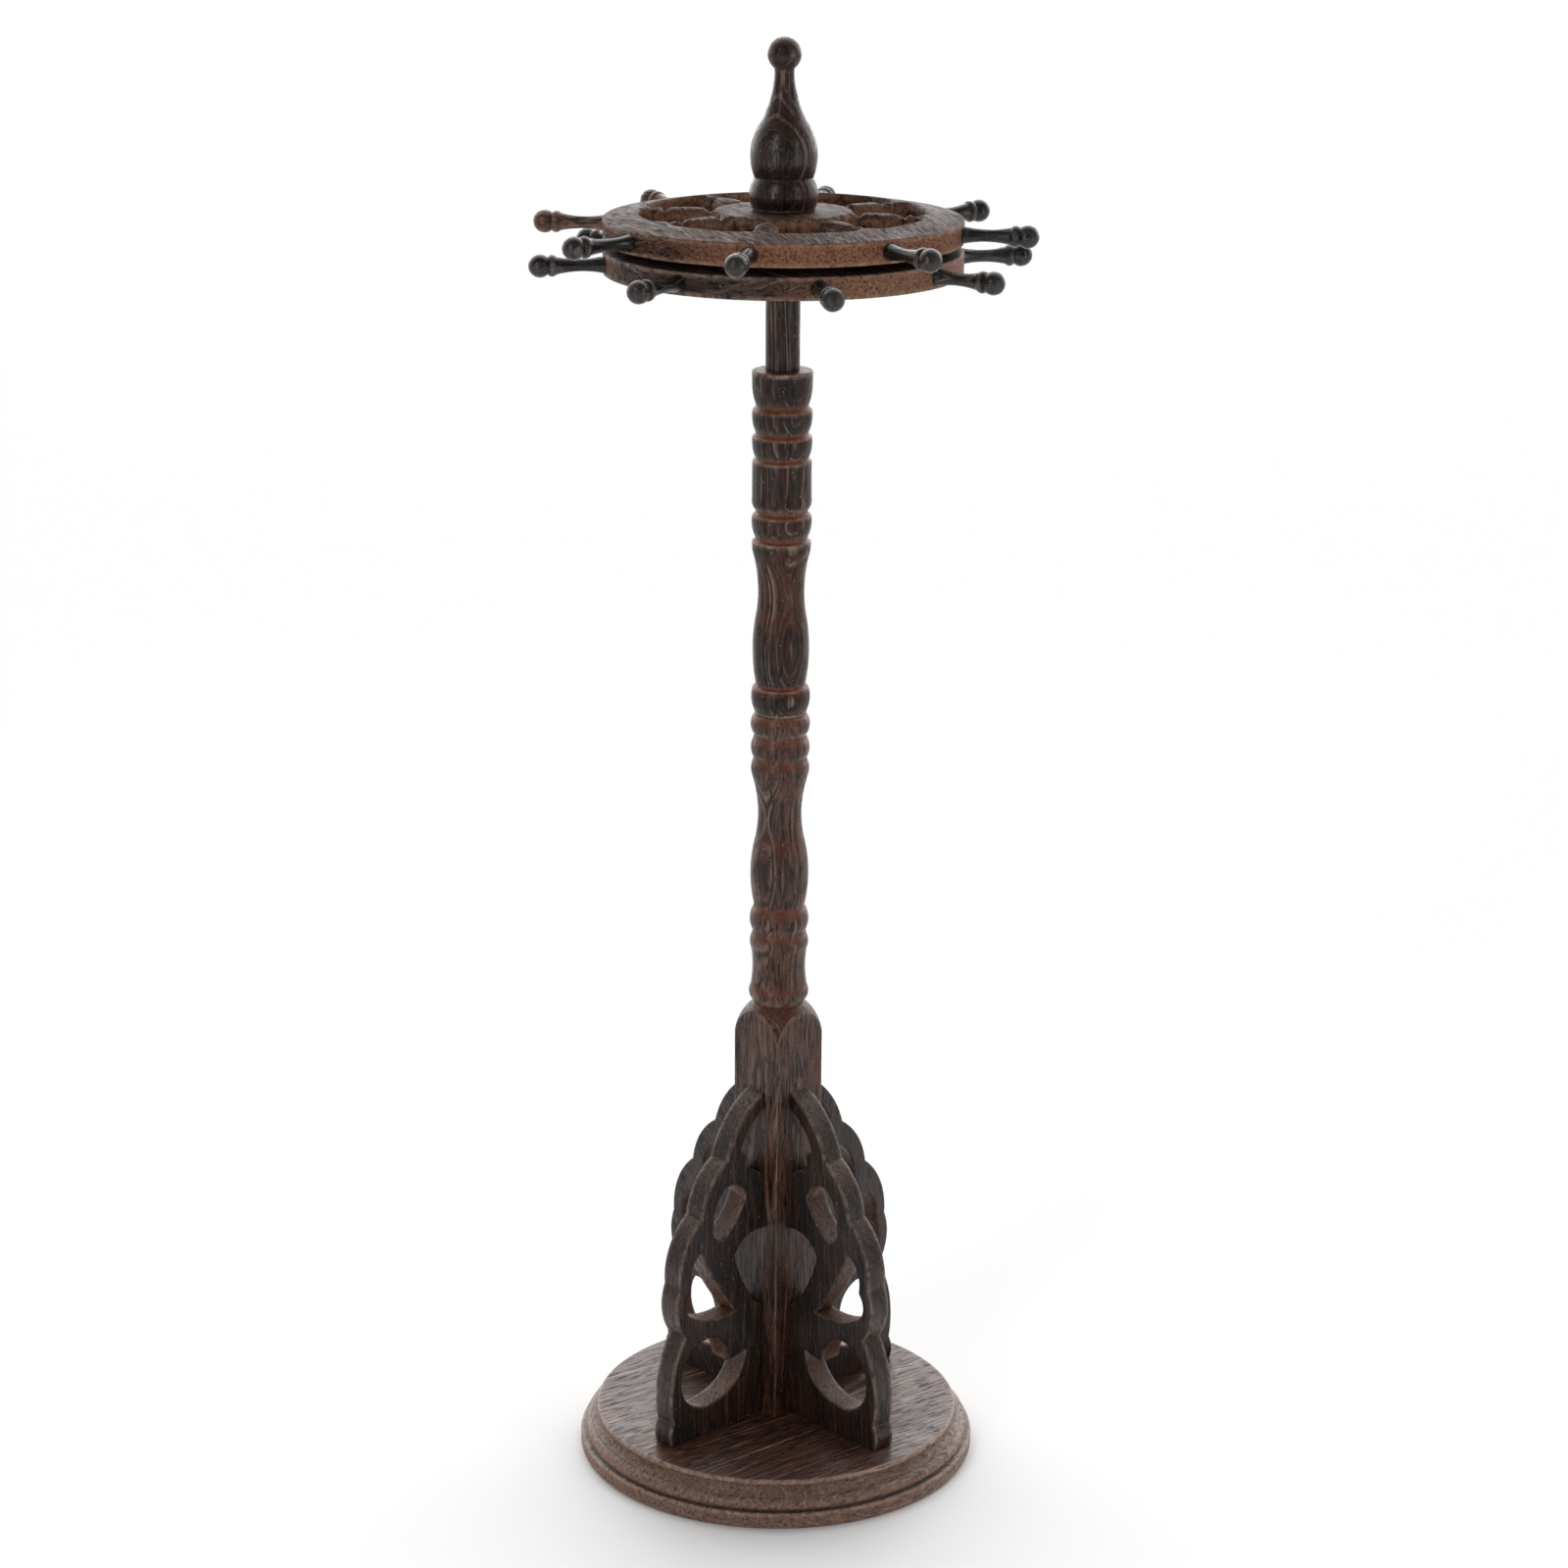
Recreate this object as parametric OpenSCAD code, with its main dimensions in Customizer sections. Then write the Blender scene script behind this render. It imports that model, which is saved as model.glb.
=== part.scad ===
// Revolving wooden tree: two ship's wheels of ball-ended pegs on a turned column.
// Origin at the centre of the base's underside, +Z up, millimetres.

/* [Base] */
// Diameter of the round base
base_d = 126; // [110:1:150]
// Height of the round base
base_h = 14; // [11:0.5:18]

/* [Column] */
// Width of the square post across its flats
post_w = 19.6; // [18.8:0.2:22]
// Height of the post and lower turned section above the base
lower_h = 230.4; // [225:0.2:250]
// Height of the upper turned section
upper_h = 106; // [100:0.5:120]
// Diameter of the turned rings
ring_d = 18; // [17:0.1:18.4]

/* [Rod] */
// Diameter of the rod where it shows
rod_d = 10.3; // [9.6:0.1:11]
// Diameter of the rod inside the wheels and the finial
journal_d = 8; // [7:0.1:8.6]
// Length of the rod that shows below the wheels
rod_show = 28.9; // [20:0.1:45]
// Clearance on radius between the rod and each wheel
running_gap = 0.08; // [0.05:0.01:0.1]

/* [Wheels] */
// Diameter of each wheel
wheel_d = 106.8; // [100:0.2:120]
// Thickness of a wheel at its rim
rim_h = 6.9; // [6.5:0.1:8]
// Extra thickness of a wheel at its hub
hub_rise = 2.1; // [1.5:0.1:3]
// Radial width of the rim
rim_w = 10.4; // [9:0.1:12]
// Gap between neighbouring hub faces
face_gap = 0.3; // [0.2:0.05:0.5]
// Bearing of the upper wheel's first peg from straight ahead
upper_turn = -9.2; // [-22:0.2:22]
// Bearing of the lower wheel's first peg from straight ahead
lower_turn = 12.2; // [-22:0.2:22]

/* [Pegs] */
// Length of a peg outside the rim
peg_l = 22.4; // [18:0.1:30]
// Radius of the ball on the end of a peg
peg_ball_r = 3.4; // [3:0.1:4]

/* [Brackets] */
// Thickness of the pierced brackets
bracket_t = 8; // [6:0.2:9]
// Height of the brackets above the base
bracket_h = 109.5; // [105:0.5:112]
// Reach of each bracket's foot from the face of the post
bracket_reach = 38.8; // [34:0.2:42]

/* [Finial] */
// Height of the finial
finial_h = 50; // [46:0.5:56]
// Radius of the ball on top of it
finial_ball_r = 5; // [4.6:0.1:5.6]

/* [Hidden] */
$fn = 72;

dark_wood = "#34241f";
red_wood = "#4a2f27";
peg_wood = "#2c2523";
steel = "#8f8f90";

base_r = base_d / 2;
post_r = post_w / 2;
post_corner_r = post_r * sqrt(2) - 0.1;
ring_r = ring_d / 2;
rod_r = rod_d / 2;
journal_r = journal_d / 2;
wheel_r = wheel_d / 2;
rim_in_r = wheel_r - rim_w;
hub_r = 20;
peg_count = 8;
hub_h = rim_h + hub_rise;
joint_z = base_h + lower_h;
column_top = joint_z + upper_h;
rod_shoulder = column_top + rod_show;
lower_wheel_z = rod_shoulder + face_gap;
upper_wheel_z = lower_wheel_z + hub_h + face_gap;
finial_z = upper_wheel_z + hub_h + face_gap;
rod_socket = 25;
column_tenon_r = 4;
column_tenon_l = 12;
finial_socket = 11;
peg_root_r = 2.6;
peg_tenon_r = 1.6;
peg_tenon_l = 8;
dowel_r = 1.5;
dowel_l = 10;
screw_recess = 2;
screw_r = 2;
screw_l = 34;
screw_head_r = 4;
screw_head_h = 2.4;

// ---- outlines made of straight lines and arcs ----
// Each outline point is [x, y, bulge]. The bulge is how far the stretch to the
// next point swells to the right of the way there, and 0 is a straight line.

function bow(p, q, h, n) =
  let (d = [q[0] - p[0], q[1] - p[1]], c = norm(d), turn = 4 * atan(2 * h / c))
  h == 0 ? [[p[0], p[1]]] :
  let (r = (c * c / 4 + h * h) / (2 * h), right = [d[1], -d[0]] / c)
  let (m = [(p[0] + q[0]) / 2, (p[1] + q[1]) / 2] + right * (h - r))
  let (v = [p[0], p[1]] - m)
  [for (i = [0:n - 1]) let (a = turn * i / n)
    m + [v[0] * cos(a) - v[1] * sin(a), v[0] * sin(a) + v[1] * cos(a)]];

function path(s, n = 8) = concat(
  [for (i = [0:len(s) - 2]) each bow(s[i], s[i + 1], s[i][2], n)],
  [[s[len(s) - 1][0], s[len(s) - 1][1]]]);

function closed(s, n = 8) = [for (i = [0:len(s) - 1]) each bow(s[i], s[(i + 1) % len(s)], s[i][2], n)];

// A ball on a neck: its height above the neck, and the swell of its arc from neck to tip
function ball_rise(r, neck) = r + sqrt(r * r - neck * neck);
function ball_swell(r, neck) = r * (1 - cos(45 + acos(neck / r) / 2));

// Solid of revolution from an outline that runs up the outside
module turned(s, n = 8) {
  last = s[len(s) - 1];
  rotate_extrude() polygon(concat([[0, s[0][1]]], path(s, n), last[0] > 0 ? [[0, last[1]]] : []));
}

// ---- base ----
base_outline = [
  [base_r - 1, 0, 0.15],
  [base_r, 1.2, 0],
  [base_r, base_h - 9.8, 0.35],
  [base_r - 0.9, base_h - 8.7, 0],
  [base_r - 1.6, base_h - 8.5, 0],
  [base_r - 1.5, base_h - 8, 0.7],
  [base_r - 3.2, base_h - 4.9, 0],
  [base_r - 3.5, base_h - 4.7, 0],
  [base_r - 3.5, base_h - 4.4, -0.35],
  [base_r - 5.4, base_h - 1.6, 0],
  [base_r - 5.2, base_h - 1.3, 0.4],
  [base_r - 6.1, base_h, 0]
];

module base() color(dark_wood) difference() {
  turned(base_outline, 6);
  translate([0, 0, -1]) cylinder(h = base_h + 2, r = screw_r);
  translate([0, 0, -1]) cylinder(h = screw_recess + screw_head_h + 1, r = screw_head_r);
  for (a = [45:90:315]) rotate(a) translate([bracket_dowel_x, 0, base_h - dowel_l / 2])
    cylinder(h = dowel_l, r = dowel_r);
}

module base_screw() color(steel) difference() {
  union() {
    translate([0, 0, screw_recess]) cylinder(h = screw_head_h, r = screw_head_r);
    translate([0, 0, screw_recess]) cylinder(h = screw_l - 3, r = screw_r);
    translate([0, 0, screw_recess + screw_l - 3]) cylinder(h = 3, r1 = screw_r, r2 = 0.3);
  }
  translate([-screw_head_r, -0.5, screw_recess - 1]) cube([2 * screw_head_r, 1, 2.2]);
}

// ---- column ----
// Heights in the column outlines are above the base for the lower section and
// above the joint for the upper one, as drawn at the heights named below.
groove_r = ring_r - 1.1;
lower_drawn_h = 230.4;
function lower_at(z) = base_h + lower_h * z / lower_drawn_h;
lower_outline = [
  [post_corner_r, base_h, 0],
  [post_corner_r, lower_at(124), 1.8],
  [groove_r - 0.1, lower_at(136.9), 0],
  [groove_r + 0.2, lower_at(137.6), 0.85],
  [ring_r - 0.2, lower_at(142.4), -0.5],
  [ring_r - 0.3, lower_at(154.8), 0.55],
  [groove_r + 0.5, lower_at(159.6), 0],
  [groove_r + 0.4, lower_at(160.8), 0.85],
  [groove_r + 0.4, lower_at(167.8), 0],
  [groove_r - 0.1, lower_at(168.6), 1.35],
  [ring_r - 1.5, lower_at(190.8), -1],
  [groove_r + 0.1, lower_at(208.5), 0],
  [ring_r - 0.3, lower_at(211.2), 0.45],
  [groove_r + 0.4, lower_at(215.9), 0],
  [groove_r + 0.4, lower_at(216.7), 0.75],
  [groove_r + 0.4, lower_at(222.6), 0],
  [groove_r + 0.1, lower_at(223.8), 1.05],
  [groove_r + 0.2, joint_z, 0]
];

module lower_column() color(red_wood) difference() {
  intersection() {
    turned(lower_outline);
    rotate(45) translate([-post_r, -post_r, base_h]) cube([post_w, post_w, lower_h]);
  }
  translate([0, 0, joint_z - column_tenon_l]) cylinder(h = column_tenon_l + 1, r = column_tenon_r);
  translate([0, 0, base_h - 1]) cylinder(h = screw_l + 1, r = screw_r);
  for (a = [45:90:315]) rotate(a) translate([post_r - dowel_l / 2, 0, dowel_z])
    rotate([0, 90, 0]) cylinder(h = dowel_l, r = dowel_r);
}

upper_drawn_h = 106;
function upper_at(z) = joint_z + upper_h * z / upper_drawn_h;
upper_outline = [
  [groove_r, joint_z, 0],
  [groove_r + 0.2, upper_at(1.2), 0.7],
  [groove_r + 0.6, upper_at(8.6), 0],
  [groove_r - 0.4, upper_at(9), 1.12],
  [ring_r - 1.5, upper_at(32), -1.05],
  [ring_r - 0.1, upper_at(51.2), 0],
  [ring_r, upper_at(53.9), 0],
  [groove_r, upper_at(54.6), 0],
  [groove_r + 0.1, upper_at(55.3), 0.55],
  [ring_r - 0.05, upper_at(62), 0],
  [groove_r, upper_at(62.8), 0],
  [groove_r, upper_at(63.5), 0.5],
  [ring_r, upper_at(67.4), 0],
  [ring_r - 0.03, upper_at(78.6), 0],
  [groove_r + 0.1, upper_at(79.3), 0.45],
  [ring_r, upper_at(86), 0],
  [groove_r, upper_at(87), 0.5],
  [ring_r, upper_at(94.1), 0],
  [groove_r - 0.1, upper_at(95.2), 0.35],
  [ring_r + 0.1, upper_at(102.2), 0],
  [ring_r + 0.2, upper_at(105.6), 0.1],
  [ring_r - 0.2, column_top, 0]
];

module upper_column() color(red_wood) difference() {
  union() {
    turned(upper_outline);
    translate([0, 0, joint_z - column_tenon_l + 0.5]) cylinder(h = column_tenon_l, r = column_tenon_r);
  }
  translate([0, 0, column_top - rod_socket]) cylinder(h = rod_socket + 1, r = rod_r);
}

// ---- rod, with a shoulder that carries the lower wheel ----
module axle_rod() color(dark_wood) {
  translate([0, 0, column_top - rod_socket]) cylinder(h = rod_socket + rod_show, r = rod_r);
  translate([0, 0, rod_shoulder]) cylinder(h = finial_z + finial_socket - 1 - rod_shoulder, r = journal_r);
}

// ---- finial: collar, gourd-shaped body and ball ----
finial_neck_r = 3;
finial_neck = finial_h - ball_rise(finial_ball_r, finial_neck_r);
finial_outline = [
  [9.2, 0, 1.2],
  [8.7, 9.4, 0],
  [8.9, 9.8, 2.1],
  [6.45, finial_neck - 14.9, -0.6],
  [finial_neck_r, finial_neck - 2.3, -0.1],
  [finial_neck_r, finial_neck, ball_swell(finial_ball_r, finial_neck_r)],
  [0, finial_h, 0]
];

module finial() color(dark_wood) translate([0, 0, finial_z]) difference() {
  turned(finial_outline, 12);
  translate([0, 0, -1]) cylinder(h = finial_socket + 1, r = journal_r);
}

// ---- brackets ----
// Bracket points are [across, up, bulge], with across and up in hundredths of
// the bracket's reach and height, across measured from the post's face.
function on_board(s) = [for (p = s)
  [post_r + bracket_reach * p[0] / 100, base_h + bracket_h * p[1] / 100, p[2]]];

// Scalloped outer edge, then a half spade and a half heart cut in at the post
bracket_edge = [
  [0, 0, 0], [100, 0, 0.9],
  [98.5, 7.3, 2.7], [85.6, 32.9, 2.3], [90.7, 48.6, 2.9],
  [67, 67.6, 2.2], [39.7, 82.6, 2.6], [0, 100, 0],
  [0, 95, -1.3], [24.7, 84.6, 0.4], [17.5, 81.9, -1.4], [11.3, 77.4, 0.4], [0, 74.7, 0],
  [0, 58, -2.6], [31.2, 52.5, -1.2], [5.7, 35.2, 0], [0, 34.2, 0]
];
oval_opening = [[20.2, 69.8, 1.1], [45.5, 58.8, 1.5], [54, 64.2, 1.6], [41, 74.6, 2.2]];
arch_opening = [[30.9, 35.4, 1.9], [78.6, 38.6, 2.3], [79.4, 46.9, 2], [68.2, 57.4, -0.9]];
leaf_opening = [[19.3, 22.1, 3.6], [54.6, 9.6, 4.6], [89.7, 19.6, 3.5], [58.5, 30, 2.2], [39.2, 20.8, -0.3]];

bracket_dowel_x = post_r + bracket_reach * 0.3;
dowel_z = base_h + bracket_h * 0.66;

// A bracket stands with its inner edge on one face of the post
module bracket(bearing) color(dark_wood) rotate(bearing) difference() {
  rotate([90, 0, 0]) translate([0, 0, -bracket_t / 2]) linear_extrude(bracket_t) difference() {
    polygon(closed(on_board(bracket_edge)));
    polygon(closed(on_board(oval_opening)));
    polygon(closed(on_board(arch_opening)));
    polygon(closed(on_board(leaf_opening)));
  }
  translate([bracket_dowel_x, 0, base_h - 1]) cylinder(h = dowel_l / 2 + 1, r = dowel_r);
  translate([post_r - 1, 0, dowel_z]) rotate([0, 90, 0]) cylinder(h = dowel_l / 2 + 1, r = dowel_r);
}

module bracket_dowels() color(peg_wood) for (a = [45:90:315]) rotate(a) {
  translate([bracket_dowel_x, 0, base_h - dowel_l / 2]) cylinder(h = dowel_l, r = dowel_r);
  translate([post_r - dowel_l / 2, 0, dowel_z]) rotate([0, 90, 0]) cylinder(h = dowel_l, r = dowel_r);
}

// ---- wheels ----
// The rim slopes up from its outer edge, and the face is nearly level inside it
wheel_outline = [
  [wheel_r - 0.4, 0, 0.1],
  [wheel_r, 0.5, 0],
  [wheel_r, rim_h - 0.5, 0.15],
  [wheel_r - 0.5, rim_h, 0],
  [rim_in_r, rim_h + hub_rise * 0.8, 0.1],
  [hub_r, hub_h, 0]
];
spoke_step = 360 / peg_count;
opening_turn = spoke_step / 2;

// Side of a spoke, out from the hub: a cove, a belly, a bead and a flare into the rim
spoke_side = [
  [hub_r, 4, 0.6],
  [hub_r + 2.4, 2.3, -1.3],
  [rim_in_r - 7.2, 2.1, -0.7],
  [rim_in_r - 3.8, 2.3, 0.8],
  [rim_in_r - 0.7, 5.2, 0]
];
hub_lobe = 0.9;

function turn_by(p, a) = [p[0] * cos(a) - p[1] * sin(a), p[0] * sin(a) + p[1] * cos(a)];
function one_side() = [for (p = path(spoke_side, 5)) turn_by(p, -opening_turn)];
function other_side(s) = [for (i = [len(s) - 1:-1:0]) [s[i][0], -s[i][1]]];
function rim_arc(s) = let (p = s[len(s) - 1])
  bow([p[0], p[1]], [p[0], -p[1]], norm(p) * (1 - cos(atan(p[1] / p[0]))) * (p[1] < 0 ? 1 : -1), 8);

// The hub's edge between two spokes swells into two lobes
function hub_edge(p) = concat(bow([p[0], -p[1]], [p[0] - 0.4, 0], -hub_lobe, 5), bow([p[0] - 0.4, 0], p, -hub_lobe, 5));

module wheel_opening() {
  side = one_side();
  polygon(concat(side, rim_arc(side), other_side(side), hub_edge(side[0])));
}

module wheel(z, turn) color(red_wood) translate([0, 0, z]) rotate(turn - 90) difference() {
  turned(wheel_outline, 3);
  translate([0, 0, -1]) cylinder(h = hub_h + 2, r = journal_r + running_gap);
  for (i = [0:peg_count - 1]) rotate(i * spoke_step) {
    rotate(opening_turn) translate([0, 0, -1]) linear_extrude(hub_h + 2) wheel_opening();
    translate([wheel_r - peg_tenon_l, 0, rim_h / 2]) rotate([0, 90, 0]) cylinder(h = peg_tenon_l + 1, r = peg_tenon_r);
  }
}

// ---- pegs ----
peg_neck_r = peg_ball_r - 0.9;
peg_neck = peg_l - ball_rise(peg_ball_r, peg_neck_r);
peg_outline = [
  [peg_tenon_r, -peg_tenon_l + 0.2, 0],
  [peg_tenon_r, 0, 0],
  [peg_root_r, 0, 0],
  [peg_root_r - 0.1, 0.5, -0.75],
  [peg_ball_r - 0.8, peg_neck - 2.5, 0],
  [peg_ball_r - 0.5, peg_neck - 2.2, 0.3],
  [peg_ball_r - 0.5, peg_neck - 0.3, 0],
  [peg_neck_r, peg_neck, ball_swell(peg_ball_r, peg_neck_r)],
  [0, peg_l, 0]
];

module peg(z, turn, number) color(peg_wood) translate([0, 0, z + rim_h / 2])
  rotate(turn - 90 + (number - 1) * spoke_step)
    translate([wheel_r, 0, 0]) rotate([0, 90, 0]) turned(peg_outline);

base();
base_screw();
lower_column();
upper_column();
axle_rod();
finial();
bracket_dowels();
bracket(225);  // front_left_bracket
bracket(315);  // front_right_bracket
bracket(45);  // back_right_bracket
bracket(135);  // back_left_bracket
wheel(lower_wheel_z, lower_turn);  // lower_wheel
wheel(upper_wheel_z, upper_turn);  // upper_wheel
for (i = [1:peg_count]) {
  peg(lower_wheel_z, lower_turn, i);
  peg(upper_wheel_z, upper_turn, i);
}
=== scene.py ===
"""Looks of the revolving mug tree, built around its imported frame.

Outlines are in millimetres, as in the CAD source, and every mesh is made in metres.
"""

import math

import bpy
import numpy as np
from mathutils import Matrix, Vector
from mathutils.geometry import delaunay_2d_cdt


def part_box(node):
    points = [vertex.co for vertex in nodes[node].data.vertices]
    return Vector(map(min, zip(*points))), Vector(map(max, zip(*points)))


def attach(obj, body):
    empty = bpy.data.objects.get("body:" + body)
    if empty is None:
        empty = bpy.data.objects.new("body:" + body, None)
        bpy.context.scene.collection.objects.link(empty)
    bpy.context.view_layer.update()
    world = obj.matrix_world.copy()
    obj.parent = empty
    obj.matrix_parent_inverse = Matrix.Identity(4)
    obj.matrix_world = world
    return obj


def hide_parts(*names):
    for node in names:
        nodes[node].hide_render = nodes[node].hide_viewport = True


MM = 0.001

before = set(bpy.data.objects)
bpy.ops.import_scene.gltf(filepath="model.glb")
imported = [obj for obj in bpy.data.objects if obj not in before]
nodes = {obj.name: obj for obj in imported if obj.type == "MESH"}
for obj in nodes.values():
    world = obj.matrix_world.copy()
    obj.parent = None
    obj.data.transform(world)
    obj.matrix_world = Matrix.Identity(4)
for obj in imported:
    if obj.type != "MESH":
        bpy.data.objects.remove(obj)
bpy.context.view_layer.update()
scene = bpy.context.scene


def span(node, axis):
    """Lowest and highest coordinate of a CAD node along an axis, in millimetres."""
    low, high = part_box(node)
    return low[axis] / MM, high[axis] / MM


# ---- sizes, read from the frame ----
BASE_R = span("base", 0)[1]
BASE_H = span("base", 2)[1]
JOINT_Z = span("lower_column", 2)[1]
COLUMN_TOP = span("upper_column", 2)[1]
ROD_R = span("axle_rod", 0)[1]
LOWER_WHEEL_Z, LOWER_HUB_Z = span("lower_wheel", 2)
UPPER_WHEEL_Z = span("upper_wheel", 2)[0]
WHEEL_R = span("lower_wheel", 0)[1]
FINIAL_Z, FINIAL_TOP = span("finial", 2)
BRACKET_H = span("front_left_bracket", 2)[1] - BASE_H
HUB_H = LOWER_HUB_Z - LOWER_WHEEL_Z

# ---- sizes repeated from the CAD source, in millimetres ----
POST_HALF = 9.8
RING_R = 9.0
GROOVE_R = RING_R - 1.1
BRACKET_T = 8.0
BRACKET_REACH = 38.8
HUB_R = 20.0
RIM_IN_R = WHEEL_R - 10.4
RIM_H = 6.9
JOURNAL_R = 4.0
BORE_R = 4.08
PEG_COUNT = 8
PEG_ROOT_R = 2.6
PEG_BALL_R = 3.4
PEG_NECK_R = PEG_BALL_R - 0.9
FINIAL_BALL_R = 5.0
FINIAL_NECK_R = 3.0


# ---- outlines of straight lines and arcs ----
def bow(p, q, swell, steps):
    """Points from p up to q along an arc that swells to the right of the way there."""
    p, q = np.array(p[:2], float), np.array(q[:2], float)
    if swell == 0:
        return [p + (q - p) * i / steps for i in range(steps)]
    way = q - p
    chord = math.hypot(*way)
    turn = 4 * math.atan(2 * swell / chord)
    radius = (chord**2 / 4 + swell**2) / (2 * swell)
    centre = (p + q) / 2 + np.array([way[1], -way[0]]) / chord * (swell - radius)
    arm = p - centre
    across = np.array([-arm[1], arm[0]])
    angles = [turn * i / steps for i in range(steps)]
    return [centre + (arm * math.cos(a) + across * math.sin(a)) for a in angles]


def path(stops, pitch):
    """Dense points along an open outline of [x, y, swell] stops."""
    points = []
    for p, q in zip(stops, stops[1:]):
        steps = max(2, round(math.dist(p[:2], q[:2]) / pitch))
        points += bow(p, q, p[2], steps)
    return np.array(points + [np.array(stops[-1][:2], float)])


def ring_path(stops, pitch):
    """Dense points round a closed outline."""
    return path(list(stops) + [stops[0]], pitch)[:-1]


def ball_rise(r, neck):
    """Height of a ball's tip above the neck it sits on."""
    return r + math.sqrt(r * r - neck * neck)


def ball_swell(r, neck):
    """Swell of a ball's arc from its neck to its tip."""
    return r * (1 - math.cos(math.radians(45) + math.acos(neck / r) / 2))


def smoothed(values, sigma, pitch):
    """Gaussian smoothing along a dense outline whose two ends stay put."""
    reach = max(1, int(3 * sigma / pitch))
    weights = np.exp(-0.5 * (np.arange(-reach, reach + 1) * pitch / sigma) ** 2)
    weights /= weights.sum()
    before = 2 * values[0] - values[reach:0:-1]
    after = 2 * values[-1] - values[-2 : -reach - 2 : -1]
    padded = np.concatenate([before, values, after])
    if values.ndim == 1:
        return np.convolve(padded, weights, "valid")
    return np.stack([np.convolve(padded[:, i], weights, "valid") for i in range(values.shape[1])], 1)


PROFILE_PITCH = 0.08
CORNER_SPAN = 0.35  # over how far along the profile a bend counts as one corner
WORN_SPAN = 0.3
GROOVE_SPAN = 0.5
MAX_CURL = 3.0


def eased_profile(stops, ease=0.2, rust=0.0):
    """A turned profile with eased corners: its points, how worn and how deep in a groove each one is.

    rust is how much the shoulders that face up count as groove, and how much those that face down get a
    painted highlight, carried in the wear values.
    """
    dense = path(stops, PROFILE_PITCH)
    soft = smoothed(dense, ease, PROFILE_PITCH)
    soft[:, 0] = np.maximum(soft[:, 0], 0)
    wide = smoothed(dense, CORNER_SPAN, PROFILE_PITCH)
    way = np.gradient(wide, axis=0)
    heading = np.unwrap(np.arctan2(way[:, 1], way[:, 0]))
    lengths = np.maximum(np.hypot(*np.diff(wide, axis=0).T), 1e-6)
    curl = np.append(np.diff(heading) / lengths, 0)
    worn = np.clip(smoothed(np.clip(curl, 0, MAX_CURL), WORN_SPAN, PROFILE_PITCH) - 0.25, 0, 1)
    deep = np.clip(smoothed(np.clip(-curl, 0, MAX_CURL), GROOVE_SPAN, PROFILE_PITCH) * 1.2 - 0.1, 0, 1)
    slant = -way[:, 0] / np.maximum(np.hypot(*way.T), 1e-9)
    deep = np.clip(deep + rust * np.clip(slant * 3 - 0.25, 0, 1), 0, 1)
    # Painted highlight: shoulders that face down are marked pale, as if worn.
    worn = np.clip(worn + 0.8 * rust * np.clip(-slant * 2 - 0.5, 0, 1), 0, 1)
    keep = thinned(soft)
    return soft[keep], worn[keep], deep[keep]


def thinned(points, tolerance=0.008, widest=1.3):
    """Which points of a dense line to keep, so that it stays within the tolerance."""
    keep = {0, len(points) - 1}
    spans = [(0, len(points) - 1)]
    while spans:
        a, b = spans.pop()
        if b - a < 2:
            continue
        chord = points[b] - points[a]
        length = max(math.hypot(*chord), 1e-9)
        rel = points[a + 1 : b] - points[a]
        off = np.abs(chord[0] * rel[:, 1] - chord[1] * rel[:, 0])
        far = int(np.argmax(off)) + a + 1
        if off[far - a - 1] / length > tolerance:
            middle = far
        elif length > widest:
            middle = (a + b) // 2
        else:
            continue
        keep.add(middle)
        spans += [(a, middle), (middle, b)]
    return sorted(keep)


# ---- meshes ----
def new_piece(name, points, faces, attributes, sharp=50):
    """A mesh object from points in millimetres, with its vertex attributes and smooth shading."""
    mesh = bpy.data.meshes.new(name)
    mesh.from_pydata([Vector(p) * MM for p in points], [], faces)
    mesh.validate()
    for title, values in attributes.items():
        layer = mesh.attributes.new(title, "FLOAT", "POINT")
        layer.data.foreach_set("value", np.asarray(values, np.float32))
    mesh.shade_smooth()
    mesh.set_sharp_from_angle(angle=math.radians(sharp))
    piece = bpy.data.objects.new(name, mesh)
    scene.collection.objects.link(piece)
    return piece


def grid_faces(rows, columns, first=0):
    """Quads between rows of points that each go once round."""
    return [
        (
            first + r * columns + c,
            first + r * columns + (c + 1) % columns,
            first + (r + 1) * columns + (c + 1) % columns,
            first + (r + 1) * columns + c,
        )
        for r in range(rows - 1)
        for c in range(columns)
    ]


def lathe(name, stops, segments=128, ease=0.2, rust=0.0, side=None):
    """A turned piece about its own Z axis, from an outline that runs up its outside.

    Its wall attribute is 1 outside the radius called side.
    """
    profile, worn, deep = eased_profile(stops, ease, rust=rust)
    closed_top = profile[-1][0] < 0.05
    rows = profile[:-1] if closed_top else profile
    angles = [2 * math.pi * c / segments for c in range(segments)]
    points = [(r * math.cos(a), r * math.sin(a), z) for r, z in rows for a in angles]
    count = len(rows)
    faces = grid_faces(count, segments)
    wear = list(np.repeat(worn[:count], segments))
    groove = list(np.repeat(deep[:count], segments))
    bottom = len(points)
    points.append((0, 0, profile[0][1]))
    points.append((0, 0, profile[-1][1]))
    wear += [0, 0]
    groove += [0, 0]
    last = (count - 1) * segments
    for c in range(segments):
        following = (c + 1) % segments
        faces.append((bottom, following, c))
        faces.append((bottom + 1, last + c, last + following))
    wall = [1.0 if side and math.hypot(p[0], p[1]) > side else 0.0 for p in points]
    return new_piece(name, points, faces, {"wear": wear, "groove": groove, "wall": wall})


def inside(points, loop):
    """Which points lie inside a closed loop."""
    x, y = points[:, 0][:, None], points[:, 1][:, None]
    a, b = loop, np.roll(loop, -1, 0)
    spans_y = (a[:, 1] > y) != (b[:, 1] > y)
    with np.errstate(divide="ignore", invalid="ignore"):
        cross = (b[:, 0] - a[:, 0]) * (y - a[:, 1]) / (b[:, 1] - a[:, 1]) + a[:, 0]
    return (spans_y & (x < cross)).sum(1) % 2 == 1


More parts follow.
